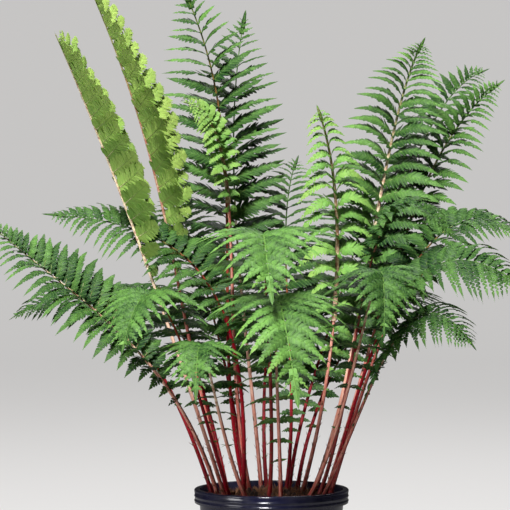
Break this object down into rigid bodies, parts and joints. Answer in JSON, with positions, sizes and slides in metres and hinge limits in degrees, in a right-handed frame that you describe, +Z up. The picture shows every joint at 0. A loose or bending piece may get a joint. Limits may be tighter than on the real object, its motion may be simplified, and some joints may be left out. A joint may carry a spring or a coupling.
{
  "type": "lady fern in a pot",
  "caption": "A bushy lady fern with red stalks and finely divided light green fronds, upright in the middle and arching outwards, growing in a round dark plastic pot",
  "frame": {"origin": "centre of the pot's underside, on the surface that the pot stands on", "axes": "+Z up, -Y towards the viewer of the picture, +X to the viewer's right"},
  "size_m": [0.5863, 0.5157, 0.7215],
  "materials": {
    "leaf": "satin",
    "stalk": "satin",
    "rhizome": "matte",
    "potting_soil": "matte",
    "pot_plastic": "gloss"
  },
  "bodies": {
    "root": {"pot": "pot_plastic", "soil": "potting_soil", "rhizome_clump": "rhizome", "frond_01_stipe": "stalk", "frond_01_blade": "leaf", "frond_02_stipe": "stalk", "frond_02_blade": "leaf", "frond_03_stipe": "stalk", "frond_03_blade": "leaf", "frond_04_stipe": "stalk", "frond_04_blade": "leaf", "frond_05_stipe": "stalk", "frond_05_blade": "leaf", "frond_06_stipe": "stalk", "frond_06_blade": "leaf", "frond_07_stipe": "stalk", "frond_07_blade": "leaf", "frond_08_stipe": "stalk", "frond_08_blade": "leaf", "frond_09_stipe": "stalk", "frond_09_blade": "leaf", "frond_10_stipe": "stalk", "frond_10_blade": "leaf", "frond_11_stipe": "stalk", "frond_11_blade": "leaf", "frond_12_stipe": "stalk", "frond_12_blade": "leaf", "frond_13_stipe": "stalk", "frond_13_blade": "leaf", "frond_14_stipe": "stalk", "frond_14_blade": "leaf", "frond_15_stipe": "stalk", "frond_15_blade": "leaf", "frond_16_stipe": "stalk", "frond_16_blade": "leaf", "frond_17_stipe": "stalk", "frond_17_blade": "leaf", "frond_18_stipe": "stalk", "frond_18_blade": "leaf", "frond_19_stipe": "stalk", "frond_19_blade": "leaf", "frond_20_stipe": "stalk", "frond_20_blade": "leaf", "frond_21_stipe": "stalk", "frond_21_blade": "leaf", "frond_22_stipe": "stalk", "frond_22_blade": "leaf", "frond_23_stipe": "stalk", "frond_23_blade": "leaf", "frond_24_stipe": "stalk", "frond_24_blade": "leaf", "frond_25_stipe": "stalk", "frond_25_blade": "leaf", "frond_26_stipe": "stalk", "frond_26_blade": "leaf", "frond_27_stipe": "stalk", "frond_27_blade": "leaf"}
  },
  "joints": []
}
